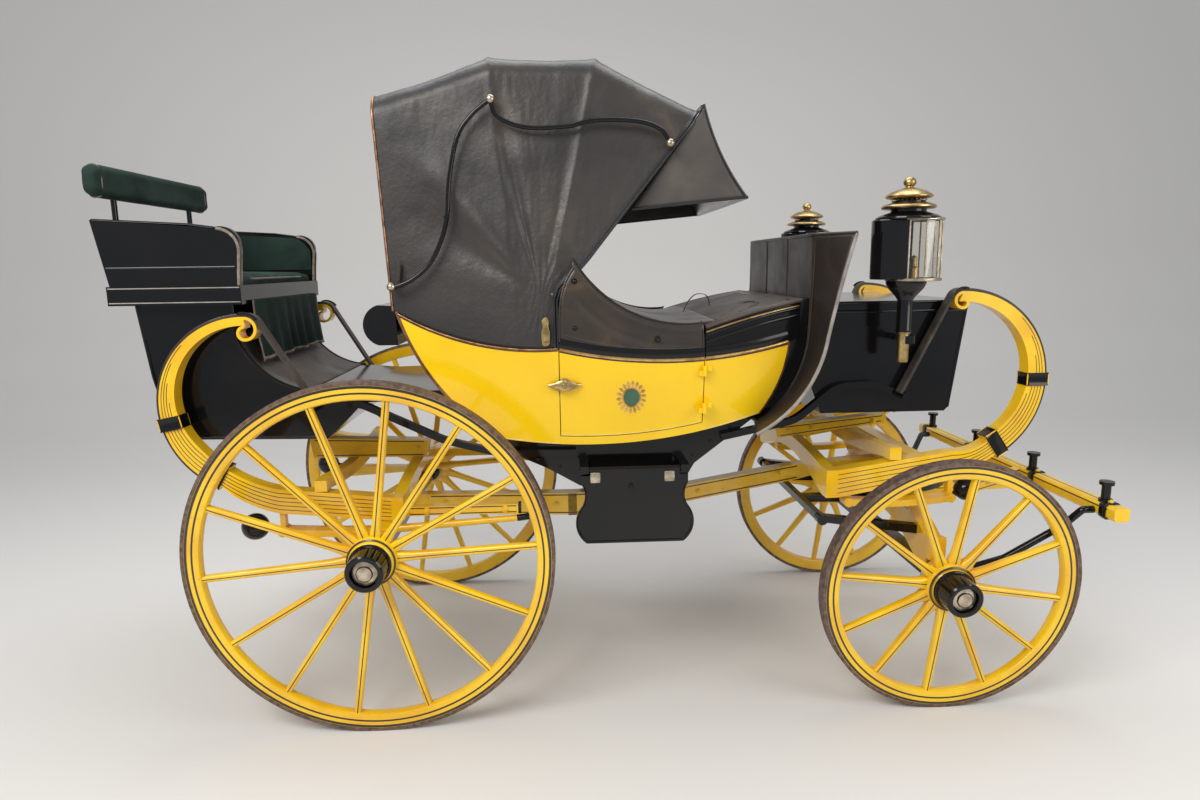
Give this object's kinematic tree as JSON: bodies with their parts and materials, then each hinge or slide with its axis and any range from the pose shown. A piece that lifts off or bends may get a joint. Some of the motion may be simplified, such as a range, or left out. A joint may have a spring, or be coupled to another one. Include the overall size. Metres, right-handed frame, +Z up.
{
  "type": "travelling carriage",
  "caption": "Horse-drawn travelling carriage on C-springs, with leather hood and apron, rumble seat, front boot, lamps, turning fore carriage and spoked wheels.",
  "frame": {"origin": "on the floor under the middle of the overall length and width", "axes": "+X forward to the splinter bar, +Y to the carriage's left, +Z up"},
  "size_m": [3.51, 1.5302, 2.3119],
  "materials": {
    "yellow_wood": "gloss chrome yellow paint over wood, lined in black",
    "yellow_iron": "gloss chrome yellow paint over iron, lined in black",
    "yellow_panel": "coach varnish over chrome yellow",
    "black_panel": "coach varnish over black",
    "black_iron": "gloss black on iron",
    "tyre_iron": "worn iron hoop",
    "hub_black": "gloss black with a bright cap",
    "hood_leather": "worn matt black leather",
    "brace_leather": "oiled dark leather",
    "dash_leather": "black patent leather, brown inside",
    "seat_cloth": "dark green cloth with a grey-beige cord",
    "seat_leather": "matt dark leather",
    "lamp_black": "black japanned tin with brass and glass"
  },
  "bodies": {
    "carriage": {"rear_axle": "yellow_iron", "rear_c_springs": "yellow_iron", "front_c_springs": "yellow_iron", "braces": "brace_leather", "spring_balls": "black_iron", "rear_under_springs": "yellow_iron", "front_under_springs": "yellow_iron", "hind_transoms": "yellow_wood", "perch": "yellow_wood", "front_transoms": "yellow_wood", "upper_plate": "yellow_iron", "body_shell": "yellow_panel", "body_well": "black_panel", "body_loops": "black_iron", "step_brackets": "black_iron", "inner_seat": "seat_leather", "front_deck": "dash_leather", "knee_apron": "hood_leather", "dash": "dash_leather", "front_boot": "black_panel", "rear_boot": "black_panel", "rumble_seat": "seat_cloth", "rumble_cushion": "seat_cloth", "headrest": "seat_cloth", "sword_case": "black_panel", "hood": "hood_leather", "visor": "hood_leather", "hood_irons": "black_iron", "lamps": "lamp_black", "lamp_brackets": "black_iron"},
    "rear_wheel_right": {"rear_tyre_right": "tyre_iron", "rear_wheel_right": "yellow_wood", "rear_hub_right": "hub_black"},
    "rear_wheel_left": {"rear_tyre_left": "tyre_iron", "rear_wheel_left": "yellow_wood", "rear_hub_left": "hub_black"},
    "front_wheel_right": {"front_tyre_right": "tyre_iron", "front_wheel_right": "yellow_wood", "front_hub_right": "hub_black"},
    "front_wheel_left": {"front_tyre_left": "tyre_iron", "front_wheel_left": "yellow_wood", "front_hub_left": "hub_black"},
    "fore_carriage": {"front_axle": "yellow_iron", "lower_plate": "yellow_iron", "axle_bed": "yellow_wood", "futchells": "yellow_wood", "sway_frame": "yellow_iron", "splinter_bar": "yellow_wood", "pole_socket": "black_iron", "splinter_irons": "black_iron"},
    "door_right": {"door_right": "yellow_panel", "door_flap_right": "hood_leather"},
    "door_left": {"door_left": "yellow_panel", "door_flap_left": "hood_leather"},
    "step_right": {"step_flap_right": "black_panel"},
    "step_left": {"step_flap_left": "black_panel"}
  },
  "joints": [
    {"name": "rear_wheel_right_spin", "type": "hinge", "parent": "carriage", "child": "rear_wheel_right", "pos_m": [-0.822, -0.6445, 0.61986], "axis": [0, -0.9998, -0.0209], "continuous": true},
    {"name": "rear_wheel_left_spin", "type": "hinge", "parent": "carriage", "child": "rear_wheel_left", "pos_m": [-0.822, 0.6445, 0.61986], "axis": [0, 0.9998, -0.0209], "continuous": true},
    {"name": "steering", "type": "hinge", "parent": "carriage", "child": "fore_carriage", "pos_m": [1.185, 0, 0.69], "axis": [0, 0, 1], "range_deg": [-30, 30]},
    {"name": "front_wheel_right_spin", "type": "hinge", "parent": "fore_carriage", "child": "front_wheel_right", "pos_m": [1.185, -0.6505, 0.46249], "axis": [0, -0.9989, -0.0471], "continuous": true},
    {"name": "front_wheel_left_spin", "type": "hinge", "parent": "fore_carriage", "child": "front_wheel_left", "pos_m": [1.185, 0.6505, 0.46249], "axis": [0, 0.9989, -0.0471], "continuous": true},
    {"name": "door_right_hinge", "type": "hinge", "parent": "carriage", "child": "door_right", "pos_m": [0.3265, -0.54056, 1.1], "axis": [0, 0, 1], "range_deg": [0, 80]},
    {"name": "door_left_hinge", "type": "hinge", "parent": "carriage", "child": "door_left", "pos_m": [0.3265, 0.54056, 1.1], "axis": [0, 0, -1], "range_deg": [0, 80]},
    {"name": "step_right_hinge", "type": "hinge", "parent": "carriage", "child": "step_right", "pos_m": [0.084, -0.506, 0.884], "axis": [-1, 0, 0], "range_deg": [0, 85]},
    {"name": "step_left_hinge", "type": "hinge", "parent": "carriage", "child": "step_left", "pos_m": [0.084, 0.506, 0.884], "axis": [1, 0, 0], "range_deg": [0, 85]}
  ]
}
